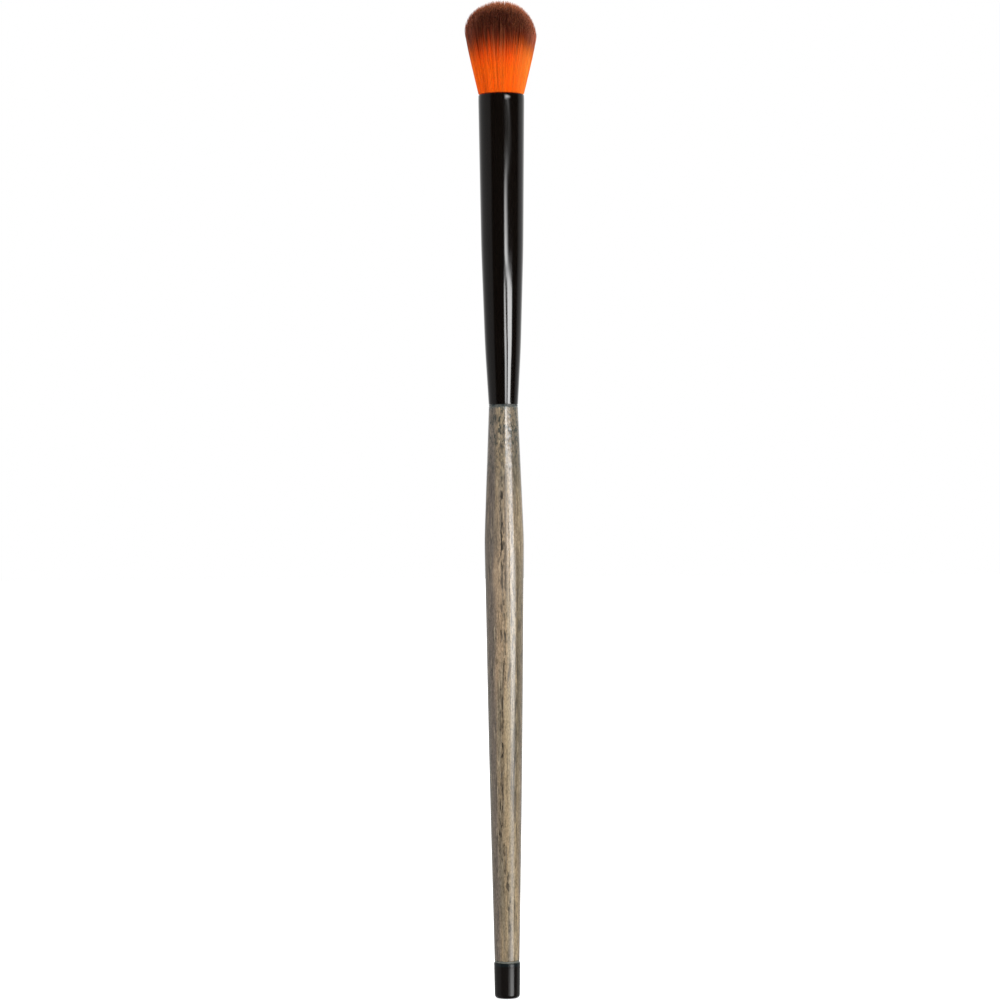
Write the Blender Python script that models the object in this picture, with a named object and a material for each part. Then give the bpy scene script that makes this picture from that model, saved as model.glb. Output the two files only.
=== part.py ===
# A blending brush for eye make-up: a turned wooden handle in an end cap, a drawn ferrule and a domed
# tuft. The brush stands upright on its cap. The origin is the middle of the cap's flat end, +Z runs
# up the brush to the bristles, and -Y is the front. Turned pieces are profiles of (radius, height).
import math
import random

import bmesh
import bpy
from mathutils import Vector
from mathutils.geometry import delaunay_2d_cdt

MM = 0.001

# Glue
GLUE_FIT = 0.05 * MM  # clearance between a face of cured glue and the wall that it holds
GLUE_FILM = 0.12 * MM  # least thickness of the glue between a peg and its bore
GLUE_LINE = 0.25 * MM  # height of the glue that shows between two shoulders

# End cap
CAP_LENGTH = 6.4 * MM
CAP_END_DIAMETER = 4.58 * MM
CAP_MOUTH_DIAMETER = 4.78 * MM
CAP_WALL = 0.35 * MM  # at the closed end, where the cap is narrowest
CAP_END_WALL = 0.8 * MM
CAP_CORNER = 0.5 * MM
CAP_LIP = 0.12 * MM

# Handle, from the foot up: each length is one stretch of the profile
FOOT_DIAMETER = 4.56 * MM
SHAFT_DIAMETER = 6.14 * MM
BELLY_DIAMETER = 7.12 * MM
NECK_DIAMETER = 5.24 * MM
LOWER_SHAFT_LENGTH = 38.2 * MM
UPPER_SHAFT_LENGTH = 37.6 * MM
NECK_LENGTH = 24.2 * MM
SHAFT_BEND_REACH = 18.0 * MM
BELLY_BEND_REACH = 2.4 * MM
SHOULDER_EASE = 0.1 * MM
SHOULDER_WIDTH = 0.5 * MM  # least ring of wood round the peg and round the tenon
PEG_CHAMFER = 0.3 * MM
TENON_LENGTH = 24.0 * MM

# Ferrule, from the foot up: each length is one stretch of the profile
FERRULE_WALL = 0.3 * MM
FERRULE_FOOT_DIAMETER = 5.28 * MM
FERRULE_WAIST_DIAMETER = 6.47 * MM
FERRULE_BARREL_DIAMETER = 7.60 * MM
FERRULE_MOUTH_DIAMETER = 8.32 * MM
FOOT_TAPER_LENGTH = 10.2 * MM
WAIST_TAPER_LENGTH = 17.7 * MM
BARREL_LENGTH = 28.1 * MM
FERRULE_BEND_REACH = 3.0 * MM

# Root of the tuft, from the lowest end up: each length is one stretch of the bound bundle
EPOXY_WALL = 0.35 * MM
EPOXY_OVERLAP = 4.0 * MM  # how far the epoxy climbs round the root
THREAD_DIAMETER = 0.3 * MM
THREAD_SPACING = 0.45 * MM  # clear gap from one turn to the next
THREAD_TURNS = 4
ROOT_SPREAD_LENGTH = 1.5 * MM
ROOT_PACKED_LENGTH = 4.7 * MM
ROOT_RECESS = 0.6 * MM  # from the ferrule's mouth down to the face that the strands rise from

# Head of the tuft
HEAD_DIAMETER = 13.1 * MM
HEAD_LENGTH = 16.9 * MM  # from the ferrule's mouth to the highest tip
DOME_HEIGHT = 5.5 * MM
DOME_SLANT = 0.9 * MM  # the dome's rim is this much higher at -X, and lower at +X
TIP_SCATTER = 0.16 * MM
STRAND_COUNT = 420
STRAND_SIDES = 3
STRAND_WIDTH_SHARE = 0.36  # a strand's radius as a share of the spacing at its height
STRAND_RING_SHARES = (0.45, 0.86)  # places of a strand's rings along it, before its point
SCATTER_SEED = 5

# Facets
ROUND_STEPS = 48
CORNER_STEPS = 4
BEND_STEPS = 4
LIP_STEPS = 6
THREAD_STEPS = 24
WELD = 0.0001 * MM
SMOOTH_ANGLE = math.radians(40)
GOLDEN_ANGLE = math.pi * (3 - math.sqrt(5))
DISC_TOLERANCE = 1e-6  # on a disc of radius 1

# Heights along the brush
CAP_FLOOR = CAP_END_WALL
HANDLE_FOOT = CAP_LENGTH + GLUE_LINE + 2 * GLUE_FIT
HANDLE_NECK = HANDLE_FOOT + LOWER_SHAFT_LENGTH + UPPER_SHAFT_LENGTH + NECK_LENGTH
FERRULE_FOOT = HANDLE_NECK + GLUE_LINE + 2 * GLUE_FIT
FERRULE_MOUTH = FERRULE_FOOT + FOOT_TAPER_LENGTH + WAIST_TAPER_LENGTH + BARREL_LENGTH
TENON_END = FERRULE_FOOT + TENON_LENGTH
STRAND_FLOOR = FERRULE_MOUTH - ROOT_RECESS
THREAD_PITCH = THREAD_DIAMETER + THREAD_SPACING
BINDING_END = STRAND_FLOOR - ROOT_PACKED_LENGTH - ROOT_SPREAD_LENGTH
BINDING_START = BINDING_END - THREAD_TURNS * THREAD_PITCH - THREAD_PITCH
ROOT_END = BINDING_START - EPOXY_OVERLAP

# Radii that one piece takes from another
CAP_BORE = min(CAP_END_DIAMETER, CAP_MOUTH_DIAMETER) / 2 - CAP_WALL
FERRULE_NARROWEST = min(FERRULE_FOOT_DIAMETER, FERRULE_WAIST_DIAMETER, FERRULE_BARREL_DIAMETER)
TENON_BORE = FERRULE_NARROWEST / 2 - FERRULE_WALL
PEG_RADIUS = min(CAP_BORE - GLUE_FILM - 2 * GLUE_FIT, FOOT_DIAMETER / 2 - SHOULDER_WIDTH)
TENON_RADIUS = min(TENON_BORE - GLUE_FILM - 2 * GLUE_FIT, NECK_DIAMETER / 2 - SHOULDER_WIDTH)


def clear_scene():
    for item in list(bpy.data.objects):
        bpy.data.objects.remove(item)


def material(name, colour, roughness, metallic=0.0, coat=0.0):
    made = bpy.data.materials.new(name)
    made.use_nodes = True
    shader = made.node_tree.nodes["Principled BSDF"]
    shader.inputs["Base Color"].default_value = (*colour, 1.0)
    shader.inputs["Roughness"].default_value = roughness
    shader.inputs["Metallic"].default_value = metallic
    shader.inputs["Coat Weight"].default_value = coat
    made.diffuse_color = (*colour, 1.0)
    return made


def arc(centre_radius, centre_height, radius, start_degrees, end_degrees, steps):
    """Points of a rounded corner of a profile, from one bearing to the other."""
    points = []
    for step in range(steps + 1):
        bearing = math.radians(start_degrees + (end_degrees - start_degrees) * step / steps)
        across, up = radius * math.cos(bearing), radius * math.sin(bearing)
        points.append((centre_radius + across, centre_height + up))
    return points


def bent_profile(stations):
    """A profile through (radius, height, reach) stations, rounded over each inner station's reach."""
    points = [stations[0][:2]]
    for before, station, after in zip(stations, stations[1:], stations[2:]):
        room = min(station[1] - before[1], after[1] - station[1]) / 2
        reach = min(station[2], room)
        entry = point_along(station, before, reach)
        leave = point_along(station, after, reach)
        for step in range(BEND_STEPS + 1):
            t = step / BEND_STEPS
            weights = ((1 - t) ** 2, 2 * t * (1 - t), t ** 2)
            points.append(tuple(
                weights[0] * entry[axis] + weights[1] * station[axis] + weights[2] * leave[axis]
                for axis in range(2)
            ))
    points.append(stations[-1][:2])
    return points


def point_along(station, towards, distance):
    """The point at this height distance from a station, on the straight line to the next one."""
    share = distance / abs(towards[1] - station[1])
    return tuple(station[axis] + (towards[axis] - station[axis]) * share for axis in range(2))


def radius_at(profile, height):
    for (low_radius, low), (high_radius, high) in zip(profile, profile[1:]):
        if low <= height <= high:
            return low_radius + (high_radius - low_radius) * (height - low) / (high - low)
    return profile[-1][0]


def stretch(profile, low, high):
    """The part of a profile between two heights, with a point at each of them."""
    inner = [point for point in profile if low + WELD < point[1] < high - WELD]
    return [(radius_at(profile, low), low), *inner, (radius_at(profile, high), high)]


def inset(profile, distance):
    return [(radius - distance, height) for radius, height in profile]


def spin_profile(mesh, profile, closed=False):
    """Turns a profile round the brush's axis. A closed profile makes a tube."""
    points = [mesh.verts.new((radius, 0, height)) for radius, height in profile]
    edges = [mesh.edges.new(pair) for pair in zip(points, points[1:])]
    if closed:
        edges.append(mesh.edges.new((points[-1], points[0])))
    bmesh.ops.spin(
        mesh, geom=points + edges, axis=(0, 0, 1), cent=(0, 0, 0),
        angle=2 * math.pi, steps=ROUND_STEPS, use_merge=True,
    )


def finish_mesh(mesh, name, look):
    bmesh.ops.remove_doubles(mesh, verts=mesh.verts, dist=WELD)
    bmesh.ops.recalc_face_normals(mesh, faces=mesh.faces)
    data = bpy.data.meshes.new(name)
    mesh.to_mesh(data)
    mesh.free()
    data.shade_smooth()
    data.set_sharp_from_angle(angle=SMOOTH_ANGLE)
    data.materials.append(look)
    made = bpy.data.objects.new(name, data)
    bpy.context.scene.collection.objects.link(made)
    return made


def turned(name, profile, look, closed=False):
    mesh = bmesh.new()
    spin_profile(mesh, profile, closed)
    return finish_mesh(mesh, name, look)


def handle_skin():
    """The wood that shows, from the shoulder on the cap to the shoulder under the ferrule."""
    middle = HANDLE_FOOT + LOWER_SHAFT_LENGTH
    belly = middle + UPPER_SHAFT_LENGTH
    return bent_profile([
        (FOOT_DIAMETER / 2, HANDLE_FOOT + SHOULDER_EASE, 0),
        (SHAFT_DIAMETER / 2, middle, SHAFT_BEND_REACH),
        (BELLY_DIAMETER / 2, belly, BELLY_BEND_REACH),
        (NECK_DIAMETER / 2, HANDLE_NECK - SHOULDER_EASE, 0),
    ])


def ferrule_skin():
    """The ferrule's outside, from its foot to its mouth."""
    waist = FERRULE_FOOT + FOOT_TAPER_LENGTH
    barrel = waist + WAIST_TAPER_LENGTH
    return bent_profile([
        (FERRULE_FOOT_DIAMETER / 2, FERRULE_FOOT, 0),
        (FERRULE_WAIST_DIAMETER / 2, waist, FERRULE_BEND_REACH),
        (FERRULE_BARREL_DIAMETER / 2, barrel, FERRULE_BEND_REACH),
        (FERRULE_MOUTH_DIAMETER / 2, FERRULE_MOUTH, 0),
    ])


def ferrule_bore():
    return inset(ferrule_skin(), FERRULE_WALL)


def end_cap():
    """A cup with a flat end, a rounded corner and a slightly flared side."""
    end_radius = CAP_END_DIAMETER / 2
    mouth_radius = CAP_MOUTH_DIAMETER / 2
    corner = arc(end_radius - CAP_CORNER, CAP_CORNER, CAP_CORNER, -90, 0, CORNER_STEPS)
    lip = arc(mouth_radius - CAP_LIP, CAP_LENGTH - CAP_LIP, CAP_LIP, 0, 90, CORNER_STEPS)
    profile = [(0, 0), *corner, *lip, (CAP_BORE, CAP_LENGTH), (CAP_BORE, CAP_FLOOR), (0, CAP_FLOOR)]
    return turned("end_cap", profile, material("cap_black", (0.012, 0.011, 0.011), 0.22))


def cap_glue():
    """A cup of glue round the peg, whose rim shows as a line between the cap and the wood."""
    outer = CAP_BORE - GLUE_FIT
    inner = PEG_RADIUS + GLUE_FIT
    floor = CAP_FLOOR + GLUE_FIT
    line_radius = min(FOOT_DIAMETER, CAP_MOUTH_DIAMETER) / 2 - GLUE_FIT
    profile = [
        (0, floor), (outer, floor), (outer, CAP_LENGTH + GLUE_FIT), (line_radius, CAP_LENGTH + GLUE_FIT),
        (line_radius, HANDLE_FOOT - GLUE_FIT), (inner, HANDLE_FOOT - GLUE_FIT),
        (inner, floor + GLUE_FILM), (0, floor + GLUE_FILM),
    ]
    return turned("cap_glue", profile, material("cap_glue_grey", (0.10, 0.13, 0.14), 0.35))


def handle():
    """One turned stick: the peg for the cap, the shaft, the belly, the neck and the tenon."""
    peg_end = CAP_FLOOR + GLUE_FILM + 2 * GLUE_FIT
    chamfer = min(PEG_CHAMFER, PEG_RADIUS / 2, TENON_RADIUS / 2)
    skin = handle_skin()
    profile = [
        (0, peg_end), (PEG_RADIUS - chamfer, peg_end), (PEG_RADIUS, peg_end + chamfer),
        (PEG_RADIUS, HANDLE_FOOT), (FOOT_DIAMETER / 2 - SHOULDER_EASE, HANDLE_FOOT),
        *skin,
        (NECK_DIAMETER / 2 - SHOULDER_EASE, HANDLE_NECK), (TENON_RADIUS, HANDLE_NECK),
        (TENON_RADIUS, TENON_END - chamfer), (TENON_RADIUS - chamfer, TENON_END), (0, TENON_END),
    ]
    return turned("handle", profile, material("grey_wood", (0.26, 0.20, 0.15), 0.35, coat=0.6))


def tenon_glue():
    """Glue that fills the ferrule round the tenon, with a rim that shows under the ferrule."""
    inner = TENON_RADIUS + GLUE_FIT
    line_radius = min(NECK_DIAMETER, FERRULE_FOOT_DIAMETER) / 2 - GLUE_FIT
    filling = inset(stretch(ferrule_bore(), FERRULE_FOOT, TENON_END), GLUE_FIT)
    line_top = FERRULE_FOOT - GLUE_FIT
    profile = [
        (inner, HANDLE_NECK + GLUE_FIT), (line_radius, HANDLE_NECK + GLUE_FIT), (line_radius, line_top),
        (filling[0][0], line_top), *filling[1:], (inner, TENON_END),
    ]
    look = material("tenon_glue_grey", (0.08, 0.12, 0.13), 0.35)
    return turned("tenon_glue", profile, look, closed=True)


def ferrule():
    """A drawn tube in three tapers, its mouth rolled to a round lip and open at both ends."""
    skin = stretch(ferrule_skin(), FERRULE_FOOT, FERRULE_MOUTH - FERRULE_WALL / 2)
    lip_radius = FERRULE_WALL / 2
    lip = arc(skin[-1][0] - lip_radius, FERRULE_MOUTH - lip_radius, lip_radius, 0, 180, LIP_STEPS)
    profile = [*skin, *lip[1:-1], *reversed(inset(skin, FERRULE_WALL))]
    look = material("ferrule_black", (0.008, 0.007, 0.007), 0.08, metallic=0.2, coat=1.0)
    return turned("ferrule", profile, look, closed=True)


def root_radius():
    """The bound bundle leaves room in the bore for the epoxy's wall and for the thread."""
    narrowest = min(radius_at(ferrule_bore(), height) for height in (ROOT_END, BINDING_END))
    return narrowest - max(EPOXY_WALL, THREAD_DIAMETER) - 2 * GLUE_FIT


def epoxy_plug():
    """Epoxy cast between the tenon's end and the tuft, with a cup that the root sits in."""
    floor = TENON_END + GLUE_FIT
    filling = inset(stretch(ferrule_bore(), floor, BINDING_START), GLUE_FIT)
    cup = root_radius() + GLUE_FIT
    cup_floor = ROOT_END - GLUE_FIT
    profile = [(0, floor), *filling, (cup, BINDING_START), (cup, cup_floor), (0, cup_floor)]
    return turned("epoxy_plug", profile, material("epoxy", (0.45, 0.36, 0.20), 0.3))


def binding_thread():
    """One thread wound round the root, above the epoxy."""
    radius = root_radius() + GLUE_FIT + THREAD_DIAMETER / 2
    first = BINDING_START + THREAD_PITCH / 2
    curve = bpy.data.curves.new("binding_thread", "CURVE")
    curve.dimensions = "3D"
    curve.bevel_depth = THREAD_DIAMETER / 2
    curve.bevel_resolution = 1
    curve.use_fill_caps = True
    spline = curve.splines.new("POLY")
    count = THREAD_TURNS * THREAD_STEPS
    spline.points.add(count)
    places = []
    for step, point in enumerate(spline.points):
        bearing = 2 * math.pi * step / THREAD_STEPS
        height = first + THREAD_PITCH * step / THREAD_STEPS
        places.append((radius * math.cos(bearing), radius * math.sin(bearing), height))
        point.co = (*places[-1], 1)
    curve.materials.append(material("thread", (0.55, 0.50, 0.42), 0.8))
    made = bpy.data.objects.new("binding_thread", curve)
    bpy.context.scene.collection.objects.link(made)
    next_turn = min(math.dist(a, b) for a, b in zip(places, places[THREAD_STEPS:]))
    print(f"binding thread: least gap between turns {(next_turn - THREAD_DIAMETER) / MM:.3f} mm")
    return made


def strand_layout():
    """Bearing and share of the tuft's radius for each strand, evenly spread like sunflower seeds."""
    return [
        (step * GOLDEN_ANGLE, math.sqrt((step + 1 / 2) / STRAND_COUNT)) for step in range(STRAND_COUNT)
    ]


def strand_tip(bearing, share, scatter):
    """The point at which a strand meets the dome."""
    radius = share * HEAD_DIAMETER / 2
    rim = FERRULE_MOUTH + HEAD_LENGTH - math.hypot(DOME_HEIGHT, DOME_SLANT)
    height = rim + DOME_HEIGHT * math.sqrt(1 - share ** 2) - DOME_SLANT * share * math.cos(bearing)
    return Vector((radius * math.cos(bearing), radius * math.sin(bearing), height - scatter))


def strand_root_spread():
    """Radius of the ring where the outermost strands rise, so that they clear the ferrule's lip."""
    lip = FERRULE_MOUTH_DIAMETER / 2 - FERRULE_WALL - GLUE_FIT
    outermost = lip / (1 + STRAND_WIDTH_SHARE * math.sqrt(math.pi / STRAND_COUNT))
    lip_share = ROOT_RECESS / (ROOT_RECESS + HEAD_LENGTH - DOME_HEIGHT)
    return (outermost - lip_share * HEAD_DIAMETER / 2) / (1 - lip_share)


def cross_section(bearing, radius, width):
    """Corners of a strand whose middle is at this bearing and radius from the brush's axis."""
    middle = (radius * math.cos(bearing), radius * math.sin(bearing))
    corners = []
    for side in range(STRAND_SIDES):
        turn = bearing + 2 * math.pi * side / STRAND_SIDES
        corners.append((middle[0] + width * math.cos(turn), middle[1] + width * math.sin(turn)))
    return corners


def strand_face_disc(mesh, strands, spread, slice_radius):
    """The top of the packed slice, with one small face for each strand. Returns those faces."""
    width = spread * STRAND_WIDTH_SHARE * math.sqrt(math.pi / len(strands))
    places = []
    for step in range(ROUND_STEPS):
        bearing = 2 * math.pi * step / ROUND_STEPS
        places.append((math.cos(bearing), math.sin(bearing)))
    outlines = [list(range(ROUND_STEPS))]
    for bearing, share in strands:
        outlines.append(list(range(len(places), len(places) + STRAND_SIDES)))
        for x, y in cross_section(bearing, share * spread, width):
            places.append((x / slice_radius, y / slice_radius))
    found = delaunay_2d_cdt(places, [], outlines, 1, DISC_TOLERANCE)
    points = [mesh.verts.new((x * slice_radius, y * slice_radius, STRAND_FLOOR)) for x, y in found[0]]
    strand_faces = {}
    for corners, sources in zip(found[2], found[5]):
        face = mesh.faces.new([points[corner] for corner in corners])
        for source in sources:
            if source > 0:
                strand_faces[source - 1] = face
    return [strand_faces[index] for index in range(len(strands))]


def grow_strand(mesh, face, tip, widening):
    """Extrudes a strand's face in rings that widen with the head, and ends it in a point."""
    root = face.calc_center_median()
    grown = 1
    for along in STRAND_RING_SHARES:
        face = bmesh.ops.extrude_discrete_faces(mesh, faces=[face])["faces"][0]
        middle = face.calc_center_median()
        growth = 1 + (widening - 1) * along
        for vert in face.verts:
            vert.co = root.lerp(tip, along) + (vert.co - middle) * growth / grown
        grown = growth
    bmesh.ops.poke(mesh, faces=[face])["verts"][0].co = tip


def bristle_tuft():
    """The root bundle and its strands in one solid: each strand grows from a face of the root's top."""
    chance = random.Random(SCATTER_SEED)
    strands = strand_layout()
    spread = strand_root_spread()
    full = inset(stretch(ferrule_bore(), BINDING_END + ROOT_SPREAD_LENGTH, STRAND_FLOOR), GLUE_FIT)
    bundle = root_radius()
    mesh = bmesh.new()
    spin_profile(mesh, [(0, ROOT_END), (bundle, ROOT_END), (bundle, BINDING_END), *full])
    faces = strand_face_disc(mesh, strands, spread, full[-1][0])
    for face, (bearing, share) in zip(faces, strands):
        tip = strand_tip(bearing, share, chance.uniform(0, TIP_SCATTER))
        grow_strand(mesh, face, tip, HEAD_DIAMETER / 2 / spread)
    return finish_mesh(mesh, "bristle_tuft", material("bristle_orange", (0.85, 0.16, 0.02), 0.5))


def build_brush():
    clear_scene()
    end_cap()
    cap_glue()
    handle()
    tenon_glue()
    ferrule()
    epoxy_plug()
    binding_thread()
    bristle_tuft()


build_brush()
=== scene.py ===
import math

import bpy
import numpy as np
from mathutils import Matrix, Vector, noise


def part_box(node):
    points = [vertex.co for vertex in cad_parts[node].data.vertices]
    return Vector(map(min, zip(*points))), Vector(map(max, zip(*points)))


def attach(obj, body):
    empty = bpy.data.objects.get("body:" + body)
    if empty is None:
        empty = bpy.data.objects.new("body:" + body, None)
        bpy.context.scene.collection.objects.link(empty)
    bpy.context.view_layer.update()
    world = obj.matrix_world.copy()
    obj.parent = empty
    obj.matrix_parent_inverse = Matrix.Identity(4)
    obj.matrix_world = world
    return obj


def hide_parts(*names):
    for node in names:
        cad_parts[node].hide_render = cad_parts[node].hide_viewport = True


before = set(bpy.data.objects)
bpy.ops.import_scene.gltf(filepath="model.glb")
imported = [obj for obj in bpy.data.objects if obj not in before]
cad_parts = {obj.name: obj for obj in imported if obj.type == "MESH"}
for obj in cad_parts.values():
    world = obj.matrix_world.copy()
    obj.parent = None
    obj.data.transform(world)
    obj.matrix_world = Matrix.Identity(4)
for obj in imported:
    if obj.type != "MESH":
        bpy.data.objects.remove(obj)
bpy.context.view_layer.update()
print("frame loaded:", ", ".join(sorted(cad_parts)))

mm = 0.001
weld = 0.0002 * mm  # points closer than this are one point
crease = 40  # degrees: edges that turn by more than this stay sharp
belowOne = 0.999  # the highest share that still falls in the last of some steps


class Wire:
    # A node's output. Sums on wires add Math nodes to their material.
    def __init__(self, paint, socket):
        self.paint = paint
        self.socket = socket

    def math(self, operation, first, second):
        return self.paint.node("ShaderNodeMath", {"operation": operation}, [first, second])

    def __add__(self, other):
        return self.math("ADD", self, other)

    def __sub__(self, other):
        return self.math("SUBTRACT", self, other)

    def __rsub__(self, other):
        return self.math("SUBTRACT", other, self)

    def __mul__(self, other):
        return self.math("MULTIPLY", self, other)

    def __truediv__(self, other):
        return self.math("DIVIDE", self, other)

    __radd__ = __add__
    __rmul__ = __mul__


class Paint:
    # The nodes of one material, or of the world.
    def __init__(self, owner):
        self.owner = owner
        owner.use_nodes = True
        self.tree = owner.node_tree
        self.tree.nodes.clear()
        self.place = self.node("ShaderNodeTexCoord", {}, {}, "Object")

    def node(self, kind, settings, values, output=0):
        made = self.tree.nodes.new(kind)
        for name, setting in settings.items():
            if name == "stops":
                self.setStops(made.color_ramp.elements, setting)
            else:
                setattr(made, name, setting)
        for name, value in values.items() if isinstance(values, dict) else enumerate(values):
            if isinstance(value, Wire):
                self.tree.links.new(value.socket, made.inputs[name])
            else:
                made.inputs[name].default_value = value
        return Wire(self, made.outputs[output]) if len(made.outputs) else None

    def setStops(self, elements, stops):
        while len(elements) < len(stops):
            elements.new(1)
        for element, (position, colour) in zip(elements, stops):
            element.position = position
            element.color = colour

    def mix(self, share, first, second, blend="MIX"):
        settings = {"data_type": "RGBA", "blend_type": blend}
        return self.node("ShaderNodeMix", settings, {0: share, 6: first, 7: second}, 2)

    def step(self, value, low, high, start=0.0, end=1.0):
        # Rises smoothly from start to end while the value goes from low to high.
        settings = {"interpolation_type": "SMOOTHSTEP"}
        return self.node("ShaderNodeMapRange", settings, [value, low, high, start, end])

    def span(self, value, start, full, fading, end):
        # Rises between the first two limits and falls between the last two.
        return self.step(value, start, full) * self.step(value, end, fading)

    def stripe(self, value, width, core):
        # Full within the core on both sides of zero, and gone at the width.
        distance = self.node("ShaderNodeMath", {"operation": "ABSOLUTE"}, [value])
        return self.step(distance, width, core)

    def split(self, axis, place=None):
        return self.node("ShaderNodeSeparateXYZ", {}, {"Vector": place or self.place}, axis)

    def grain(self, across, along, shift=0.0, detail=2.0, wander=0.0):
        # Noise drawn out along the brush: its features are this wide across it and along it.
        drawn = self.node("ShaderNodeMapping", {}, {
            "Vector": self.place, "Location": (shift, shift, shift),
            "Scale": (1 / across, 1 / across, 1 / along),
        })
        values = {"Vector": drawn, "Scale": 1.0, "Detail": detail, "Distortion": wander}
        return self.node("ShaderNodeTexNoise", {}, values, "Fac")

    def sway(self, value, across, along, shift, reach):
        # The value, moved to and fro by soft noise.
        return value + (self.grain(across, along, shift) - 0.5) * reach

    def ramp(self, value, stops):
        return self.node("ShaderNodeValToRGB", {"stops": stops}, [value])

    def attribute(self, name):
        return self.node("ShaderNodeAttribute", {"attribute_name": name}, {}, "Fac")

    def grey(self, value):
        return self.node("ShaderNodeCombineColor", {}, [value, value, value])

    def bump(self, height, distance, strength=1.0):
        values = {"Strength": strength, "Distance": distance, "Height": height}
        return self.node("ShaderNodeBump", {}, values)

    def finish(self, **values):
        # The last two nodes: a Principled BSDF with these sockets, and the output.
        named = {name.replace("_", " "): value for name, value in values.items()}
        shader = self.node("ShaderNodeBsdfPrincipled", {}, named)
        self.node("ShaderNodeOutputMaterial", {}, {"Surface": shader})
        return self.owner


def newPaint(name):
    return Paint(bpy.data.materials.new(name))


def tint(red, green, blue):
    # A screen colour, 0 to 255, as the linear colour that a node takes.
    screen = [channel / 255 for channel in (red, green, blue)]
    linear = [c / 12.92 if c <= 0.04045 else ((c + 0.055) / 1.055) ** 2.4 for c in screen]
    return (*linear, 1.0)


def readPoints(piece):
    points = np.empty(len(piece.data.vertices) * 3, np.float32)
    piece.data.vertices.foreach_get("co", points)
    return points.reshape(-1, 3).astype(float)


def writePoints(piece, points):
    piece.data.vertices.foreach_set("co", points.astype(np.float32).ravel())
    piece.data.update()


def setAttribute(piece, name, values):
    # A number at each point, which the piece's material reads by this name.
    attribute = piece.data.attributes.new(name, "FLOAT", "POINT")
    attribute.data.foreach_set("value", values.astype(np.float32))


def startGrid(name, columns, rows):
    bpy.ops.object.select_all(action="DESELECT")
    bpy.ops.mesh.primitive_grid_add(x_subdivisions=columns, y_subdivisions=rows, size=1)
    piece = bpy.context.object
    piece.name = piece.data.name = name
    piece.data.uv_layers[0].name = "OFBake"
    return piece


def closeMesh(piece, sharpFrom=crease, fill=False):
    # Joins the seams and poles, fills open ends where asked, turns the faces outwards and shades them.
    bpy.ops.object.mode_set(mode="EDIT")
    bpy.ops.mesh.select_all(action="SELECT")
    bpy.ops.mesh.remove_doubles(threshold=weld)
    if fill:
        bpy.ops.mesh.select_all(action="DESELECT")
        bpy.ops.mesh.select_non_manifold()
        bpy.ops.mesh.edge_face_add()
        bpy.ops.mesh.select_all(action="SELECT")
    bpy.ops.mesh.normals_make_consistent(inside=False)
    bpy.ops.object.mode_set(mode="OBJECT")
    bpy.ops.object.shade_smooth_by_angle(angle=math.radians(sharpFrom))


def turnPiece(name, profile, sides):
    # A grid rolled round the brush's axis: a row for each (radius, height) of the profile.
    piece = startGrid(name, sides, len(profile) - 1)
    points = readPoints(piece)
    bearing = (points[:, 0] + 0.5) * 2 * math.pi + math.pi / 2  # the seam is at the back
    row = np.rint((points[:, 1] + 0.5) * (len(profile) - 1)).astype(int)
    radius, height = np.array(profile)[row].T
    writePoints(piece, np.stack([radius * np.cos(bearing), radius * np.sin(bearing), height], 1))
    closeMesh(piece)
    return piece


def taperRadius(heights, stations):
    # Straight tapers between (radius, height, reach) stations, rounded over each one's reach.
    radii = np.interp(heights, [s[1] for s in stations], [s[0] for s in stations])
    for before, bend, after in zip(stations, stations[1:], stations[2:]):
        turn = (after[0] - bend[0]) / (after[1] - bend[1])
        turn -= (bend[0] - before[0]) / (bend[1] - before[1])
        inside = np.clip(bend[2] - np.abs(heights - bend[1]), 0, None)
        radii = radii + turn / (4 * bend[2]) * inside ** 2
    return radii


def taperProfile(low, high, spacing, stations):
    heights = np.linspace(low, high, round((high - low) / spacing) + 1)
    return list(zip(taperRadius(heights, stations), heights))


def roundCorner(radius, height, size, startDegrees, endDegrees, steps=8):
    # Points of a rounded edge about its own centre.
    bearings = np.radians(np.linspace(startDegrees, endDegrees, steps + 1))
    return [(radius + size * math.cos(b), height + size * math.sin(b)) for b in bearings]


def dressPiece(piece, material, slot, *nodes):
    piece.data.materials.clear()
    piece.data.materials.append(material)
    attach(piece, "root")
    if nodes:
        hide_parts(*nodes)


# Wooden handle

handleSizes = {
    "footDiameter": 4.56 * mm, "footHeight": 6.75 * mm,
    "middleDiameter": 6.14 * mm, "middleHeight": 44.95 * mm, "middleReach": 18 * mm,
    "bellyDiameter": 7.12 * mm, "bellyHeight": 82.55 * mm, "bellyReach": 2.4 * mm,
    "neckDiameter": 5.24 * mm, "neckHeight": 106.75 * mm,
    "pegDiameter": 3.44 * mm, "tenonDiameter": 4.24 * mm, "chamfer": 0.3 * mm, "ease": 0.1 * mm,
    "sides": 128, "ringSpacing": 0.22 * mm,
}
handleGrain = {
    "swell": {"depth": 0.003 * mm, "across": 3.2 * mm, "along": 22 * mm, "shift": (0, 0, 0)},
    "groove": {"depth": 0.0015 * mm, "across": 0.42 * mm, "along": 9 * mm, "shift": (0, 0, 40)},
    "pore": {"depth": 0.010 * mm, "across": 0.36 * mm, "along": 3.0 * mm, "shift": (9, 0, 0)},
    "band": {"across": 1.1 * mm, "along": 26 * mm, "shift": (4, 0, 2)},  # the pores gather in bands
    "dent": {"depth": 0.018 * mm, "across": 0.5 * mm, "along": 0.75 * mm, "shift": (0, 5, 0)},
    "poreFrom": 0.24, "poreSoftness": 0.14, "bandSharpness": 6,
    "dentFrom": 0.05, "dentDarkness": 3, "dentLeast": 0.02,
    "dentFoot": 91 * mm, "dentTop": 101 * mm,  # the pits grow denser between these heights
    "endFade": 0.8 * mm,  # the wood stays smooth this close to its two ends
}


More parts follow.
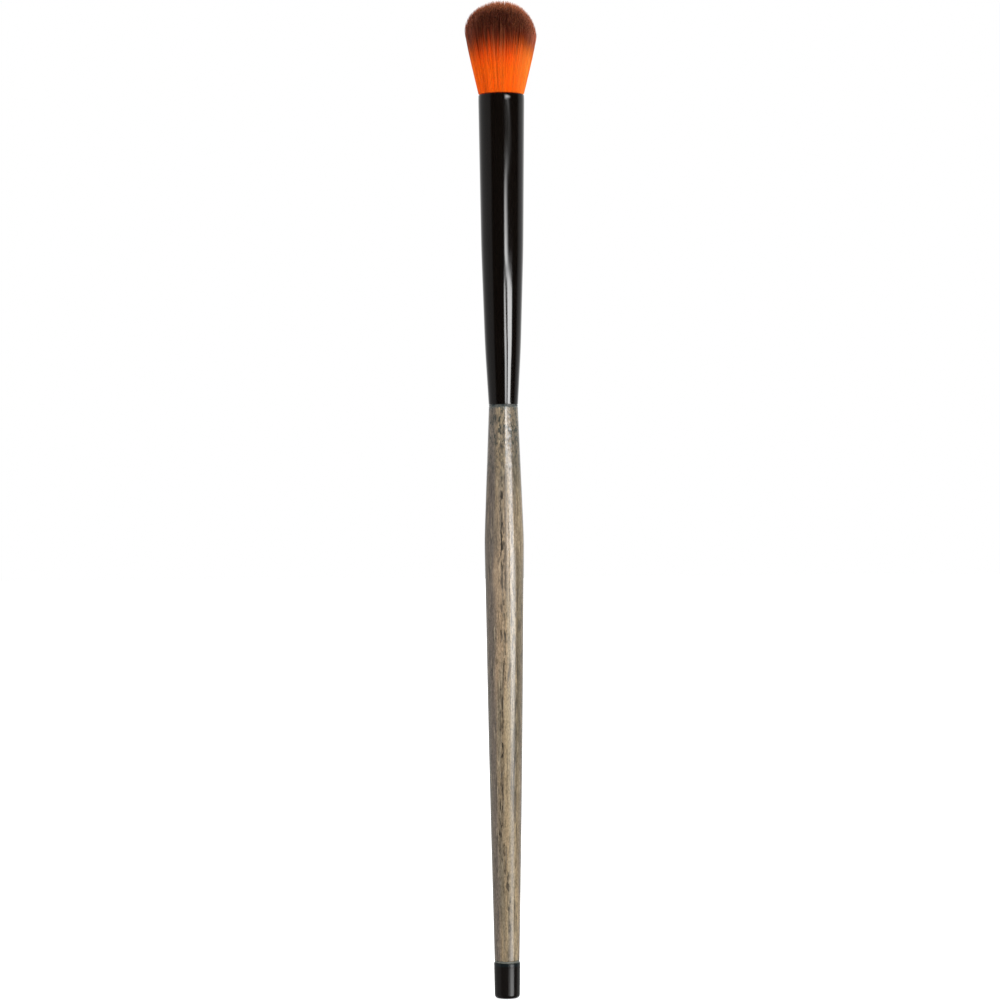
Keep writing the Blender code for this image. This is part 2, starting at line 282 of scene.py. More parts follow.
def handleProfile():
    size = handleSizes
    low, high = (corner.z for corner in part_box("handle"))
    foot, neck = size["footHeight"], size["neckHeight"]
    peg, tenon = size["pegDiameter"] / 2, size["tenonDiameter"] / 2
    chamfer, ease = size["chamfer"], size["ease"]
    skin = taperProfile(foot + ease, neck - ease, size["ringSpacing"], [
        (size["footDiameter"] / 2, foot, 0),
        (size["middleDiameter"] / 2, size["middleHeight"], size["middleReach"]),
        (size["bellyDiameter"] / 2, size["bellyHeight"], size["bellyReach"]),
        (size["neckDiameter"] / 2, neck, 0),
    ])
    return [
        (0, low), (peg - chamfer, low), (peg, low + chamfer), (peg, foot), (skin[0][0] - ease, foot),
        *skin,
        (skin[-1][0] - ease, neck), (tenon, neck), (tenon, high - chamfer),
        (tenon - chamfer, high), (0, high),
    ]


def reliefAt(point, kind):
    # The noise of one kind of relief, drawn out along the brush.
    relief = handleGrain[kind]
    sizes = relief["across"], relief["across"], relief["along"]
    return noise.noise([place / size + shift for place, size, shift in zip(point, sizes, relief["shift"])])


def clamp(value, low=0, high=1):
    return min(max(value, low), high)


def carveHandle(piece):
    # The wood's long swells, grooves, pores and pits, cut into its turned skin.
    cut, size = handleGrain, handleSizes
    points = readPoints(piece)
    pores = np.zeros(len(points))
    for index, point in enumerate(points):
        radius, height = math.hypot(point[0], point[1]), point[2]
        edge = clamp(min(height - size["footHeight"], size["neckHeight"] - height) / cut["endFade"])
        if edge == 0 or radius < size["pegDiameter"] / 2:
            continue
        pore = clamp((reliefAt(point, "pore") - cut["poreFrom"]) / cut["poreSoftness"])
        pore *= clamp(reliefAt(point, "band") * cut["bandSharpness"])
        rough = clamp((height - cut["dentFoot"]) / (cut["dentTop"] - cut["dentFoot"]), cut["dentLeast"])
        dent = max(reliefAt(point, "dent") - cut["dentFrom"], 0) * rough
        depth = reliefAt(point, "swell") * cut["swell"]["depth"]
        depth += reliefAt(point, "groove") * cut["groove"]["depth"]
        depth -= pore * cut["pore"]["depth"] + dent * cut["dent"]["depth"]
        points[index, :2] *= 1 + depth * edge / radius
        pores[index] = max(pore, min(dent * cut["dentDarkness"], 1)) * edge
    writePoints(piece, points)
    setAttribute(piece, "pore", pores)


# Two limits are where a tone starts and is full. With four it fades again between the last two.
# A grain's numbers are its width, length, place in the noise, detail and wander. A sway's last is its reach.
woodTones = {
    "bandGrain": (1.9 * mm, 46 * mm, 3, 3, 0.3),
    "bands": [
        (0.30, tint(126, 111, 92)), (0.42, tint(140, 123, 99)), (0.52, tint(156, 136, 106)),
        (0.62, tint(160, 143, 114)), (0.74, tint(134, 120, 98)),
    ],
    # The plum-grey left side is partly the wood's own tone and partly painted shade, on the side turned from
    # the lamps.
    "shadedLeftSide": (-1.1 * mm, -1.9 * mm), "leftShadeShare": 0.85, "shadedPlum": tint(101, 91, 84),
    "oliveSide": (1.5 * mm, 2.2 * mm), "oliveShare": 0.8, "olive": tint(110, 100, 81),
    "fadedBelly": (77 * mm, 81 * mm, 89 * mm, 93 * mm), "fadedFoot": (48 * mm, 34 * mm), "fading": 0.5,
    # The lighter tan stripe in front is partly the wood's tan and partly painted light where the front is
    # lit.
    "paintedLightHeights": (50 * mm, 60 * mm, 87 * mm, 97 * mm), "paintedLightShare": 0.62, "paintedLightStripe": tint(178, 152, 121),
    "paintedLightRight": (0.8 * mm, -0.2 * mm), "paintedLightLeft": (-2.4 * mm, -1.5 * mm),
    "narrowing": (76 * mm, 84 * mm), "narrower": 0.9 * mm,  # its left side draws in at the belly
}


def toneWood(paint, height, side):
    # Broad bands, olive on the right, a plum-grey left that is partly painted shade and a tan front partly
    # painted light.
    look = woodTones
    colour = paint.ramp(paint.grain(*look["bandGrain"]), look["bands"])
    # Painted shade in part: plum grey laid over the left side.
    colour = paint.mix(paint.step(side, *look["shadedLeftSide"]) * look["leftShadeShare"], colour, look["shadedPlum"])
    faded = paint.span(height, *look["fadedBelly"]) + paint.step(height, *look["fadedFoot"])
    olive = paint.step(side, *look["oliveSide"]) * (look["oliveShare"] - faded * look["fading"])
    colour = paint.mix(olive, colour, look["olive"])
    leftLimit = side - paint.step(height, *look["narrowing"]) * look["narrower"]
    # Painted light in part: a lighter tan stripe down the front.
    paintedLightStripe = paint.span(height, *look["paintedLightHeights"])
    paintedLightStripe = paintedLightStripe * paint.step(side, *look["paintedLightRight"]) * paint.step(leftLimit, *look["paintedLightLeft"])
    return paint.mix(paintedLightStripe * look["paintedLightShare"], colour, look["paintedLightStripe"])


# Each mark's grain, the levels of it where the mark starts and is full, its share and its colour
woodMarks = {
    "ashen": ((1.1 * mm, 30 * mm, 7, 2, 0.2), (0.56, 0.64), 0.45, tint(104, 101, 90)),
    "streak": ((0.42 * mm, 14 * mm, 11, 2, 0.2), (0.55, 0.66), 0.5, tint(92, 82, 69)),
    "smudge": ((0.5 * mm, 5 * mm, 73), (0.44, 0.56), 0.5, tint(84, 74, 62)),
    "dash": ((0.34 * mm, 1.7 * mm, 17, 2, 0.3), (0.52, 0.61), 0.72, tint(54, 48, 40)),
    "seam": ((0.5 * mm, 5 * mm, 67), (0.36, 0.52), 0.75, tint(74, 68, 57)),
    "crack": ((0.18 * mm, 8 * mm, 61, 1), (0.645, 0.69), 0.7, tint(48, 43, 36)),
    "pale": ((0.3 * mm, 4 * mm, 23), (0.58, 0.70), 1.0, tint(182, 165, 138)),
}
markCourses = {
    "veinSway": (3 * mm, 16 * mm, 71, 2.0 * mm), "veinTop": (64 * mm, 56 * mm), "veinAside": 0.15 * mm,
    "veinTurns": [  # the vein steps aside between these heights, downwards
        (60 * mm, 54 * mm, 0.6 * mm), (40 * mm, 32 * mm, 0.35 * mm), (28 * mm, 22 * mm, -1.35 * mm),
    ],
    "smudgeWidth": (0.65 * mm, 0.15 * mm), "dashWidth": (0.75 * mm, 0.3 * mm),
    "dashBands": (0.9 * mm, 22 * mm, 59, 1), "dashLevels": (0.52, 0.60), "dashShare": 0.7,
    "seamAside": 1.75 * mm, "seamWidth": (0.6 * mm, 0.15 * mm),
    "seamBend": (80 * mm, 86 * mm), "seamShift": 0.35 * mm,
    "seamHeights": [(30 * mm, 38 * mm, 60 * mm, 68 * mm), (92 * mm, 95 * mm, 100 * mm, 104 * mm)],
    "paleShare": 0.5, "paleInNeck": 0.35,
}


def markWood(paint, colour, height, side, neck):
    # Lays the wood's marks over its tones in turn, and gives back where each one is.
    look = markCourses
    turns = sum(paint.step(height, start, full) * shift for start, full, shift in look["veinTurns"])
    vein = paint.sway(paint.split(0), *look["veinSway"]) + (turns + look["veinAside"])
    banded = paint.step(paint.grain(*look["dashBands"]), *look["dashLevels"]) * look["dashShare"]
    seam = side - look["seamAside"] - paint.step(height, *look["seamBend"]) * look["seamShift"]
    seamReach = sum(paint.span(height, *heights) for heights in look["seamHeights"])
    places = {
        "smudge": paint.stripe(vein, *look["smudgeWidth"]) * paint.step(height, *look["veinTop"]),
        "dash": banded + paint.stripe(vein, *look["dashWidth"]),
        "seam": paint.stripe(seam, *look["seamWidth"]) * seamReach,
        "pale": look["paleShare"] + neck * look["paleInNeck"],
    }
    marks = {}
    for name, (grain, levels, share, markColour) in woodMarks.items():
        marks[name] = paint.step(paint.grain(*grain), *levels) * places.get(name, 1.0)
        colour = paint.mix(marks[name] * share, colour, markColour)
    return colour, marks


woodFinish = {
    "sideSway": (2.6 * mm, 24 * mm, 83, 2.2 * mm),  # how far the tones wander off the brush's own sides
    "neck": (90 * mm, 103 * mm), "neckShare": 0.22, "neckColour": tint(130, 122, 112),
    "fibre": (0.11 * mm, 1.2 * mm, 29, 3), "fibreContrast": 0.56,
    "speck": (0.2 * mm, 0.5 * mm, 47), "speckContrast": 1.5, "brightness": 0.99,
    "poreShare": 0.6, "poreColour": tint(56, 49, 41),
    "mottle": (0.4 * mm, 0.95 * mm, 31, 3), "mottleLevels": (0.52, 0.58),
    "mottleShare": 0.88, "mottleColour": tint(56, 61, 56),
    "stainSway": (0.5 * mm, 0.9 * mm, 37, 1.6 * mm),  # glue has soaked into both ends
    "stainTop": (106.1 * mm, 106.8 * mm), "stainFoot": (6.9 * mm, 6.6 * mm),
    "stainShare": 0.85, "stainColour": tint(82, 90, 89),
    "glossHeights": (68 * mm, 74 * mm, 93 * mm, 97 * mm), "glossSide": (0.85 * mm, 0.2 * mm),
    "flankSway": (1.5 * mm, 7 * mm, 89, 0.9 * mm), "flankAside": 0.32 * mm,
    "flankWidth": (0.6 * mm, 0.2 * mm), "flankShare": 0.6, "flankColour": tint(88, 78, 66),
    "belly": (60 * mm, 72 * mm, 90 * mm, 98 * mm), "dull": (80 * mm, 84 * mm, 93 * mm, 97 * mm),
    "sheen": (0.3 * mm, 3 * mm, 41), "relief": 0.004 * mm,
}


def paintWood():
    # Weathered beige and grey wood with dark streaks and pores, under clear lacquer.
    look, paint = woodFinish, newPaint("lacqueredWood")
    height = paint.split(2)
    neck = paint.step(height, *look["neck"])
    side = paint.sway(paint.split(0), *look["sideSway"])
    colour = toneWood(paint, height, side)
    colour, marks = markWood(paint, colour, height, side, neck)
    fibre, speck = paint.grain(*look["fibre"]), paint.grain(*look["speck"])
    shade = look["brightness"] + (fibre - 0.5) * look["fibreContrast"]
    shade = shade + (speck - 0.5) * look["speckContrast"]
    colour = paint.mix(1.0, colour, paint.grey(shade), "MULTIPLY")
    pore = paint.attribute("pore")
    colour = paint.mix(pore * look["poreShare"], colour, look["poreColour"])
    colour = paint.mix(neck * look["neckShare"], colour, look["neckColour"])
    mottle = paint.step(paint.grain(*look["mottle"]), *look["mottleLevels"]) * neck
    colour = paint.mix(mottle * look["mottleShare"], colour, look["mottleColour"])
    ragged = paint.sway(height, *look["stainSway"])
    stain = paint.step(ragged, *look["stainTop"]) + paint.step(ragged, *look["stainFoot"])
    colour = paint.mix(stain * look["stainShare"], colour, look["stainColour"])
    besideGloss = paint.span(height, *look["glossHeights"]) * paint.step(paint.split(0), *look["glossSide"])
    flank = paint.sway(paint.split(0), *look["flankSway"]) - look["flankAside"]
    flank = paint.stripe(flank, *look["flankWidth"]) * besideGloss
    colour = paint.mix(flank * look["flankShare"], colour, look["flankColour"])
    belly, dull = paint.span(height, *look["belly"]), paint.span(height, *look["dull"])
    relief = fibre * 0.4 + speck * 0.3 - marks["streak"] * 0.2 - marks["crack"] * 0.5 - marks["dash"] * 0.4
    return paint.finish(
        Base_Color=colour,
        Roughness=0.15 + paint.grain(*look["sheen"]) * 0.10 + pore * 0.12 + besideGloss * 0.14,
        Specular_IOR_Level=0.7,
        Normal=paint.bump(relief, look["relief"]),
        Coat_Weight=0.72 + neck * 0.28 - belly * 0.14 - dull * 0.2 - besideGloss * 0.3,
        Coat_Roughness=0.10, Coat_IOR=1.6,
    )


handle = turnPiece("wooden_handle", handleProfile(), handleSizes["sides"])
carveHandle(handle)
bpy.ops.object.shade_smooth_by_angle(angle=math.radians(crease))
dressPiece(handle, paintWood(), "lacquered_wood", "handle")
print("handle turned and carved:", len(handle.data.polygons), "faces")


# Ferrule

ferruleSizes = {
    "footDiameter": 5.28 * mm, "waistDiameter": 6.47 * mm,
    "barrelDiameter": 7.60 * mm, "mouthDiameter": 8.32 * mm,
    "waistHeight": 10.2 * mm, "barrelHeight": 27.9 * mm,  # above the foot
    "mouthDrop": 0.15 * mm, "rollLength": 1.3 * mm, "rollDepth": 0.04 * mm,  # the rolled-in mouth
    "bendReach": 3 * mm, "wall": 0.3 * mm, "footChamfer": 0.04 * mm,
    "sides": 160, "ringSpacing": 0.25 * mm, "boreSpacing": 4,  # one ring of the bore to four of the skin
}


def ferruleProfile():
    size = ferruleSizes
    low, high = (corner.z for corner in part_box("ferrule"))
    high -= size["mouthDrop"]
    lip = size["wall"] / 2
    waist, barrel, mouth = (size[name] / 2 for name in ("waistDiameter", "barrelDiameter", "mouthDiameter"))
    bend = size["rollLength"] / 2
    slope = (mouth - barrel) / (high - low - size["barrelHeight"])
    skin = taperProfile(low, high - lip, size["ringSpacing"], [
        (size["footDiameter"] / 2, low, 0),
        (waist, low + size["waistHeight"], size["bendReach"]),
        (barrel, low + size["barrelHeight"], size["bendReach"]),
        (mouth - slope * bend, high - bend, bend),
        (mouth - size["rollDepth"], high, 0),
    ])
    mouth = roundCorner(skin[-1][0] - lip, high - lip, lip, 0, 180, 12)
    foot = [(skin[0][0] - size["wall"], low), (skin[0][0] - size["footChamfer"], low)]
    bore = [(radius - size["wall"], height) for radius, height in reversed(skin[1:-1:size["boreSpacing"]])]
    outer = [(skin[0][0], low + size["footChamfer"]), *skin[1:-1]]
    return [*outer, *mouth, *bore, *foot, outer[0]]


def paintLacquer():
    # Black lacquer on drawn aluminium: near black, glossy, with a faint orange peel and fine dust.
    paint = newPaint("blackLacquer")
    cloud = paint.grain(1.6 * mm, 5 * mm, 3, 3)
    dust = paint.step(paint.grain(0.09 * mm, 0.12 * mm, 9, 1), 0.70, 0.78)
    colour = paint.mix(cloud, tint(8, 4, 3), tint(15, 11, 8))
    colour = paint.mix(dust * 0.3, colour, tint(56, 53, 50))
    peel = paint.grain(0.7 * mm, 1.5 * mm, 15, 2)
    return paint.finish(
        Base_Color=colour,
        Roughness=0.065 + cloud * 0.05 + dust * 0.2,
        Normal=paint.bump(peel, 0.0022 * mm),
        Coat_Weight=1.0, Coat_Roughness=0.045,
    )


ferrule = turnPiece("black_ferrule", ferruleProfile(), ferruleSizes["sides"])
dressPiece(ferrule, paintLacquer(), "ferrule_black", "ferrule")
print("ferrule drawn:", len(ferrule.data.polygons), "faces")


# End cap

capSizes = {
    "endDiameter": 4.58 * mm, "mouthDiameter": 4.78 * mm, "corner": 0.6 * mm, "lip": 0.12 * mm,
    "bandHeight": 0.62 * mm, "grooveWidth": 0.16 * mm, "grooveDepth": 0.02 * mm,
    "boreDiameter": 3.88 * mm, "endWall": 0.8 * mm, "sides": 128, "ringSpacing": 0.1 * mm,
}


def capProfile():
    size = capSizes
    low, high = (corner.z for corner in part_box("end_cap"))
    end, mouth, bore = size["endDiameter"] / 2, size["mouthDiameter"] / 2, size["boreDiameter"] / 2
    corner = roundCorner(end - size["corner"], low + size["corner"], size["corner"], -90, 0, 12)
    groove = high - size["bandHeight"]
    side = []
    for radius, height in taperProfile(
        low + size["corner"], high - size["lip"], size["ringSpacing"], [(end, low, 0), (mouth, high, 0)],
    )[1:-1]:
        dip = max(1 - abs(height - groove) / (size["grooveWidth"] / 2), 0)
        side.append((radius - dip * size["grooveDepth"], height))
    lip = roundCorner(mouth - size["lip"], high - size["lip"], size["lip"], 0, 90, 6)
    floor = low + size["endWall"]
    return [(0, low), *corner, *side, *lip, (bore, high), (bore, floor), (0, floor)]


def paintCap():
    # Black moulded plastic, a little softer in its shine than the ferrule.
    paint = newPaint("blackCapPlastic")
    height = paint.split(2)
    cloud = paint.grain(0.8 * mm, 1.6 * mm, 5, 3)
    band = paint.step(height, 5.7 * mm, 5.9 * mm)
    colour = paint.mix(cloud, tint(18, 15, 14), tint(26, 22, 20))
    colour = paint.mix(band * 0.8, colour, tint(19, 28, 31))
    scuff = paint.step(paint.grain(0.05 * mm, 0.9 * mm, 12, 1), 0.66, 0.76)
    return paint.finish(
        Base_Color=colour,
        Roughness=0.12 + cloud * 0.07 + scuff * 0.10,
        Normal=paint.bump(cloud + scuff * -0.2, 0.003 * mm),
        Coat_Weight=0.35, Coat_Roughness=0.12,
    )


cap = turnPiece("black_end_cap", capProfile(), capSizes["sides"])
dressPiece(cap, paintCap(), "cap_black", "end_cap")
print("end cap moulded:", len(cap.data.polygons), "faces")


# Beads of glue in the two joints

beadSizes = {
    "neck_glue_bead": {"radius": 2.47 * mm, "height": 106.88 * mm, "thickness": 0.23 * mm},
    "cap_glue_bead": {"radius": 2.16 * mm, "height": 6.56 * mm, "thickness": 0.2 * mm},
}
beadSurface = {
    "around": 96, "across": 12, "sharpFrom": 80,
    "lump": 0.012 * mm, "lumpSize": 0.6 * mm, "stretch": 1.7, "unevenness": 0.8,
}


def makeBead(name, size):
    # A ring of squeezed-out glue, lumpy all round and taller than it is thick.
    bpy.ops.object.select_all(action="DESELECT")
    bpy.ops.mesh.primitive_torus_add(
        major_radius=size["radius"], minor_radius=size["thickness"] / 2,
        major_segments=beadSurface["around"], minor_segments=beadSurface["across"],
    )
    bead = bpy.context.object
    bead.name = bead.data.name = name
    points = readPoints(bead)
    for index, point in enumerate(points):
        lump = noise.noise(Vector(point) / beadSurface["lumpSize"] + Vector((0, 0, size["height"] / mm)))
        points[index, :2] *= 1 + lump * beadSurface["lump"] / size["radius"]
        points[index, 2] *= beadSurface["stretch"] + beadSurface["unevenness"] * lump
    points[:, 2] += size["height"]
    writePoints(bead, points)
    closeMesh(bead, beadSurface["sharpFrom"])
    return bead


def paintGlue(name):
    # Cured glue, teal grey, and paler at the cap.
    paint = newPaint(name)
    cloud = paint.step(paint.grain(0.7 * mm, 0.4 * mm, 2, 3), 0.35, 0.65)
    colour = paint.mix(cloud, tint(50, 59, 60), tint(98, 98, 92))
    nearCap = paint.step(paint.split(2), 60 * mm, 50 * mm)
    colour = paint.mix(nearCap * 0.28, colour, tint(148, 150, 138))
    return paint.finish(
        Base_Color=colour, Roughness=0.32 + cloud * 0.2,
        Normal=paint.bump(cloud, 0.01 * mm), Coat_Weight=0.2,
    )


gluePaint = paintGlue("tealGreyGlue")
for beadName, beadSize in beadSizes.items():
    dressPiece(makeBead(beadName, beadSize), gluePaint, "joint_glue")
print("glue beads laid:", ", ".join(beadSizes))


# Bristles

tuftSizes = {
    "count": 7800, "width": 0.112 * mm, "sides": 4, "sharpFrom": 100, "wobble": 0.05 * mm, "seed": 11,
    "homeScatter": 0.006, "stray": 0.006, "strayFrom": 0.93,  # the outermost filaments stray outwards
    "clumps": 1700, "clumpTurn": 2.39996, "clumpSpread": 0.010, "clumpPull": 0.34, "clumpLean": 0.011,
    "clumpTone": 0.75,  # the share of a filament's tone that its clump has in common
    "boreRadius": 3.78 * mm, "lipRadius": 4.04 * mm, "lipRise": 0.30 * mm, "lipDrop": 0.15 * mm,
    "flare": 0.226, "headRadius": 6.45 * mm, "headHeight": 10.6 * mm,  # above the mouth
    "headTaper": 0.06, "headSoftness": 0.12 * mm,
    "domeFoot": 11.45 * mm, "domeHeight": 5.3 * mm, "domeTilt": 0.70 * mm,
    "domeRoundness": 2.2, "domeFullness": 0.58, "tiltRoundness": 3, "settlingRounds": 12,
    "longestGrowth": 1.3,  # as a share of the height of the dome's foot, in how far a clump gathers
    "tipScatter": 0.15 * mm, "clumpScatter": 0.10 * mm, "longer": 0.6, "shorter": 1.3,
    "toneSteps": 16, "lengthSteps": 8, "mapWidth": 0.8, "mapTop": 0.97,
}
tuftPieces = {  # each piece's share of the tuft's radius
    "bristles_inner": (0.0, 0.58), "bristles_middle": (0.58, 0.82), "bristles_outer": (0.82, 2.0),
}
# A filament's rings: what each is measured from, mm above it, its width and its share of the pale tip
filamentRings = [
    ("mouth", -0.9, 1, 0), ("mouth", -0.15, 1, 0), ("mouth", 0.15, 1, 0), ("mouth", 2.2, 1, 0),
    ("mouth", 6.0, 1, 0), ("tip", -3.6, 0.96, 0), ("tip", -1.3, 0.68, 0.35), ("tip", 0.0, 0.12, 1),
]


def tuftRadius(above):
    # The tuft's radius at heights above the ferrule's mouth, for its outermost filaments.
    size = tuftSizes
    bulge = np.clip((above + size["lipDrop"]) / size["lipRise"], 0, 1)
    foot = size["boreRadius"] + (size["lipRadius"] - size["boreRadius"]) * bulge * (2 - bulge)
    flared = foot + size["flare"] * np.clip(above - size["lipRise"] + size["lipDrop"] / 2, 0, None)
    top = size["headRadius"] + size["headTaper"] * (above - size["headHeight"])
    soft = size["headSoftness"]
    return np.where(above > 0, (flared + top - np.hypot(flared - top, soft)) / 2 + soft / 4, flared)


def domeRise(across, up):
    # How far above the dome's foot it ends, for places in the plan as shares of its radius.
    size = tuftSizes
    share = np.clip(np.hypot(across, up), 0, 1)
    tilt = size["domeTilt"] * across * share ** size["tiltRoundness"]
    return size["domeHeight"] * (1 - share ** size["domeRoundness"]) ** size["domeFullness"] - tilt


def spiral(count, turn, start=0):
    # Places that fill a disc of radius 1 evenly.
    order = np.arange(count) + 0.5
    reach = np.sqrt(order / count)
    bearing = order * turn + start
    return np.stack([reach * np.cos(bearing), reach * np.sin(bearing)], 1)


def layTuft():
    # Each filament's home as a share of the tuft's radius, its clump, its tip's height and its tone.
    size, draw = tuftSizes, np.random.default_rng(tuftSizes["seed"])
    count, clumps = size["count"], size["clumps"]
    home = spiral(count, math.pi * (3 - math.sqrt(5)))
    outermost = np.hypot(*home.T) > size["strayFrom"]
    home += draw.normal(0, size["homeScatter"], home.shape)
    home *= 1 + np.abs(draw.normal(0, size["stray"], (count, 1))) * outermost[:, None]
    clump = spiral(clumps, size["clumpTurn"], 1)
    clump += draw.normal(0, size["clumpSpread"], clump.shape)
    near = np.argmin(((home[:, None] - clump[None]) ** 2).sum(2), 1)
    lean = draw.normal(0, size["clumpLean"], clump.shape)[near]
    centre = clump[near]
    tone = size["clumpTone"] * draw.uniform(0, 1, clumps)[near]
    tone = np.clip(tone + (1 - size["clumpTone"]) * draw.uniform(0, 1, count), 0, belowOne)
    longer = draw.normal(0, size["clumpScatter"], clumps)[near] + draw.normal(0, size["tipScatter"], count)
    tip = np.full(count, size["domeFoot"])
    for _ in range(size["settlingRounds"]):
        plan = home + (centre - home) * size["clumpPull"] + lean
        plan = plan * tuftRadius(tip)[:, None] / size["headRadius"]
        tip = 0.5 * tip + 0.5 * (size["domeFoot"] + domeRise(plan[:, 0], plan[:, 1]))
    tip += np.where(longer > 0, longer * size["longer"], longer * size["shorter"])
    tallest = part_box("bristle_tuft")[1].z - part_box("ferrule")[1].z
    return home, centre, lean, np.minimum(tip, tallest), tone


def ringHeight(ring, tip):
    measuredFrom, offset, *_ = filamentRings[ring]
    return tip + offset * mm if measuredFrom == "tip" else np.full(len(tip), offset * mm)


def filamentSpine(ring, home, centre, lean, tip, wobble):
    # Where the middle of each filament's ring is, in the plan and above the mouth.
    size = tuftSizes
    above = ringHeight(ring, tip)
    grown = np.clip(above / size["domeFoot"], 0, size["longestGrowth"])[:, None]
    place = home + (centre - home) * size["clumpPull"] * grown + lean * grown
    place = place * tuftRadius(above)[:, None] + wobble * np.sin(np.pi * np.clip(grown, 0, 1))
    return np.concatenate([place, above[:, None]], 1)


def growFilaments(name, chosen, layout, material):
    # One filament is rolled from a grid, repeated, and each copy combed to its own place.
    size, draw = tuftSizes, np.random.default_rng(tuftSizes["seed"] + len(name))
    home, centre, lean, tip, tone = (part[chosen] for part in layout)
    count, rings, sides = len(tip), len(filamentRings), size["sides"]
    piece = startGrid(name, sides, rings - 1)
    points = readPoints(piece)
    row = np.rint((points[:, 1] + 0.5) * (rings - 1))
    column = np.rint((points[:, 0] + 0.5) * sides)
    bpy.ops.object.modifier_add(type="ARRAY")
    repeat = piece.modifiers[-1]
    repeat.count = count
    repeat.use_relative_offset = False
    bpy.ops.object.modifier_apply(modifier=repeat.name)
    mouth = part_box("ferrule")[1].z
    wobble = draw.normal(0, size["wobble"], (count, 2))
    twist = draw.uniform(0, 2 * math.pi, count)
    length = np.clip((tip - size["domeFoot"]) / size["domeHeight"], 0, belowOne)
    tone = (np.floor(tone * size["toneSteps"]) + 0.5) / size["toneSteps"]
    kind = (tone * size["toneSteps"] - 0.5) * size["lengthSteps"] + np.floor(length * size["lengthSteps"])
    laid = np.empty((count, len(points), 3))
    for ring, (_, _, share, _) in enumerate(filamentRings):
        spine = filamentSpine(ring, home, centre, lean, tip, wobble)
        spine[:, 2] += mouth
        width = size["width"] / 2 * share
        for corner in np.flatnonzero(row == ring):
            bearing = twist + column[corner] * 2 * math.pi / sides
            laid[:, corner] = spine
            laid[:, corner, 0] += width * np.cos(bearing)
            laid[:, corner, 1] += width * np.sin(bearing)
    writePoints(piece, laid.reshape(-1, 3))
    setAttribute(piece, "tone", np.repeat(tone, len(points)))
    paleness = np.array([ring[3] for ring in filamentRings])
    setAttribute(piece, "tip", np.tile(paleness[row.astype(int)], count))
    mapFilaments(piece, (np.repeat(kind, len(points)) + 0.5) / (size["toneSteps"] * size["lengthSteps"]))
    closeMesh(piece, size["sharpFrom"], fill=True)
    dressPiece(piece, material, "bristle", "bristle_tuft")
    return piece


def mapFilaments(piece, column):
    # A map where filaments of one tone and length share a column, each at its own height.
    data, size = piece.data, tuftSizes
    at = np.empty(len(data.loops), np.int32)
    data.loops.foreach_get("vertex_index", at)
    flat = np.empty(len(data.loops) * 2, np.float32)
    data.uv_layers[0].data.foreach_get("uv", flat)
    flat = flat.reshape(-1, 2)
    low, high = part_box("bristle_tuft")
    height = (readPoints(piece)[:, 2] - high.z) / (high.z - low.z) + size["mapTop"]
    width = size["mapWidth"] / (size["toneSteps"] * size["lengthSteps"])
    flat[:, 0] = column[at] + (flat[:, 0] - 0.5) * width
    flat[:, 1] = np.clip(height[at], 0, 1)
    data.uv_layers[0].data.foreach_set("uv", flat.ravel())


bristleLook = {
    "dyeLength": 17 * mm,  # the dye below runs over this height above the mouth
    "dye": [
        (0.0, tint(255, 98, 0)), (0.22, tint(255, 104, 0)), (0.32, tint(254, 96, 2)),
        (0.40, tint(234, 80, 5)), (0.47, tint(194, 64, 9)), (0.54, tint(140, 48, 12)),
        (0.61, tint(102, 36, 15)), (0.70, tint(82, 32, 20)), (1.0, tint(78, 31, 22)),
    ],
    "dyeScatter": 0.085, "shadedSides": (0.3, 0.8), "sideShadeDrop": 0.035,  # painted shade: the brown reaches lower at the sides, darkening them
    "orange": (0.60, 0.40), "grain": (0.13 * mm, 0.6 * mm, 5), "brightness": 1.03,
    "toneContrast": 0.26, "orangeToneContrast": 0.12, "rightToneContrast": -0.10,
    "grainContrast": 0.3, "orangeGrainContrast": 0.5,
    "reshuffle": 37.7,  # turns a filament's tone into a second number of its own
    "warmShare": 0.06, "orangeWarmShare": 0.30, "warm": tint(255, 150, 40),
    # painted light: the orange sides are painted paler, the right most, standing in for light falling and
    # shining through
    "rightSideLight": (0.15, 0.93), "rightSideLightShare": 0.6,
    "leftSideLight": (-0.62, -0.93), "leftSideLightShare": 0.3,
    "sideLightHeights": (0.60, 0.34), "paintedSideLight": tint(255, 164, 62),
    # painted rim light: the brown dome's outline is painted paler, more on the right
    "domeReach": 6.3 * mm, "domeStart": 1.68,
    "edge": (0.36, 0.98), "rimLightShare": 0.44, "rightRimLightShare": 0.14,
    "rimLightOutline": (0.82, 1.05), "rimLightOutlineShare": 0.25, "paintedRimLight": tint(216, 128, 98),
    "undyedKinds": (0.90, 0.92), "undyedHeights": (5 * mm, 7.5 * mm, 10 * mm, 13.5 * mm),
    "undyedShare": 0.13, "undyed": tint(228, 150, 98),
    "tipLength": (0.5, 1.0), "tipHeights": (13.6 * mm, 16.9 * mm, 0.12, 0.95),  # the longest are palest
    # painted light: the tips on the right side are painted paler too
    "rightTipLight": (0.0, 0.6), "rightTipLightShare": 0.18, "tip": tint(232, 142, 92),
    # painted shadow: a dark red line where the filaments leave the ferrule's mouth
    "mouthShadowHeights": (0.06 * mm, -0.15 * mm), "mouthShadowShare": 0.8, "mouth": tint(120, 24, 2),
}


